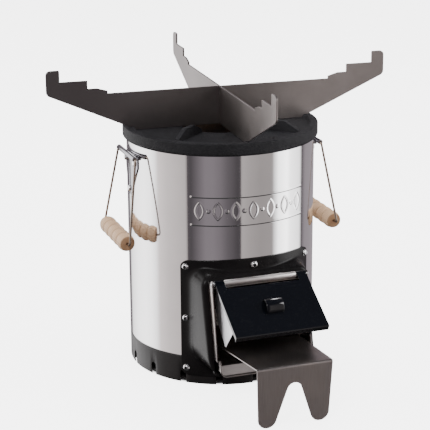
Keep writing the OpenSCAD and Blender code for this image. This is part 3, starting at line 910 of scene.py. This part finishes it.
def bent(corners, radius, steps=8):
    """A closed path of points with its corners rounded."""
    path = []
    for n, corner in enumerate(corners):
        before = (corners[n - 1] - corner).normalized()
        after = (corners[(n + 1) % len(corners)] - corner).normalized()
        half = before.angle(after) / 2
        start = corner + before * radius / math.tan(half)
        end = corner + after * radius / math.tan(half)
        middle = corner + (before + after).normalized() * radius / math.sin(half)
        for k in range(steps + 1):
            arm = (start - middle).lerp(end - middle, k / steps).normalized() * radius
            path.append(middle + arm)
    return path


def spun(name, profile, steps=64):
    """Turns a closed (radius, along) outline round the y axis."""
    bpy.ops.object.select_all(action="DESELECT")
    bpy.ops.mesh.primitive_circle_add(vertices=len(profile))
    piece = bpy.context.active_object
    piece.name = name
    for corner, (r, along) in zip(piece.data.vertices, profile):
        corner.co = (r, along, 0)
    edit(piece)
    bpy.ops.mesh.select_all(action="SELECT")
    bpy.ops.mesh.spin(steps=steps, angle=math.tau, center=(0, 0, 0), axis=(0, 1, 0))
    bpy.ops.mesh.select_all(action="SELECT")
    bpy.ops.mesh.remove_doubles(threshold=0.00001)
    bpy.ops.mesh.normals_make_consistent(inside=False)
    bpy.ops.object.mode_set(mode="OBJECT")
    smooth(piece, 40)
    return piece


grip_half = 0.050
bead_count = 5
bead = 2 * grip_half / bead_count
bead_low_r, bead_swell, groove_r = 0.0094, 0.0021, 0.0091
bore_r, bore_mouth_r, bore_mouth = wire_r + 0.00006, wire_r + 0.0007, 0.0012
rim, rim_in_r, rim_out_r = 0.0003, 0.0088, 0.0096
grip_profile = [(bore_r, -grip_half + bore_mouth), (bore_mouth_r, -grip_half),
                (rim_in_r, -grip_half), (rim_out_r, -grip_half + rim)]
for n in range(bead_count):
    for k in range(1, 12):
        swell = math.sin(math.pi * k / 12) ** 0.7
        edge = rim if n == 0 else 0.0
        along = -grip_half + edge + bead * (n + k / 12)
        grip_profile.append((bead_low_r + bead_swell * swell, along))
    if n < bead_count - 1:
        grip_profile.append((groove_r, -grip_half + bead * (n + 1)))
grip_profile += [(rim_out_r, grip_half - rim), (rim_in_r, grip_half),
                 (bore_mouth_r, grip_half), (bore_r, grip_half - bore_mouth)]

beech = Finish("oiled_beech")
across_x, along_y, up_z = beech.split()
ring_wave = beech.noise(beech.stretched(beech.place, 60, 6, 60), 1.0, 2.0)
growth = beech.maths("SINE", (across_x + up_z * 0.55) * 2600.0 + ring_wave * 9.0)
rings_of_growth = growth * 0.5 + 0.5
flecks = beech.noise(beech.stretched(beech.place, 1500, 130, 1500), 1.0, 3.0, 0.6)
stain = beech.noise(beech.place, 38.0, 4.0, 0.6)
grain_tone = beech.mix(rings_of_growth * 0.55 + 0.1,
                       (0.90, 0.62, 0.39), (0.60, 0.35, 0.18))
grain_tone = beech.mix(beech.step(flecks, 0.58, 0.72) * 0.35,
                       grain_tone, (0.27, 0.14, 0.07))
end_cut = beech.step(beech.maths("ABSOLUTE", along_y),
                     grip_half - 0.0006, grip_half - 0.0001)
grain_tone = beech.mix(end_cut * 0.55, grain_tone, (0.22, 0.10, 0.045))
# painted shade: the grooves between the beads are darkened
painted_shade_from_groove = beech.maths("ABSOLUTE", beech.maths("FRACT", along_y / bead + 3.0) - 0.5)
grain_tone = beech.mix(beech.step(painted_shade_from_groove, 0.10, 0.02) * 0.55,
                       grain_tone, (0.33, 0.16, 0.07))
beech.set("Base_Color", beech.mix(beech.step(stain, 0.35, 0.75) * 0.22,
                                  grain_tone, (0.92, 0.68, 0.45)))
beech.set("Roughness", 0.46 + rings_of_growth * 0.1
          + beech.step(flecks, 0.5, 0.7) * 0.12)
beech.bump(flecks, 0.00012)
wire = Finish("nickel_wire", Metallic=1.0)
drawn_lines = wire.noise(wire.place, 700.0, 3.0)
wire.set("Base_Color", wire.mix(drawn_lines, (0.25, 0.195, 0.155), (0.40, 0.33, 0.275)))
wire.set("Roughness", 0.22 + drawn_lines * 0.14)
for side, name in ((-1, "left"), (1, "right")):
    hang = (Matrix.Translation((side * pivot_x, 0, pivot_z))
            @ Matrix.Rotation(-side * lean, 4, "Y"))
    corners = [Vector((0, bail_top_half, 0)), Vector((0, bail_low_half, -bail_drop)),
               Vector((0, -bail_low_half, -bail_drop)), Vector((0, -bail_top_half, 0))]
    drawing = bpy.data.curves.new(name + "_bail_path", "CURVE")
    drawing.dimensions = "3D"
    drawing.bevel_depth = wire_r
    drawing.bevel_resolution = 4
    line = drawing.splines.new("POLY")
    path = bent(corners, bail_bend_r)
    line.points.add(len(path) - 1)
    line.use_cyclic_u = True
    for point, place in zip(line.points, path):
        point.co = (*(hang @ place), 1)
    bail = bpy.data.objects.new(name + "_bail_wire", drawing)
    bpy.context.scene.collection.objects.link(bail)
    bpy.ops.object.select_all(action="DESELECT")
    bpy.context.view_layer.objects.active = bail
    bail.select_set(True)
    bpy.ops.object.convert(target="MESH")
    smooth(bail, 60)
    wire.on(bail)
    grip = spun(name + "_turned_grip", grip_profile)
    grip.data.transform(hang @ Matrix.Translation((0, 0, -bail_drop)))
    beech.on(grip)
    for piece, node, slot in ((bail, name + "_bail", "bright_steel"),
                              (grip, name + "_grip", "beech")):
        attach(piece, node)
        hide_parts(node)

bpy.ops.object.select_all(action="DESELECT")
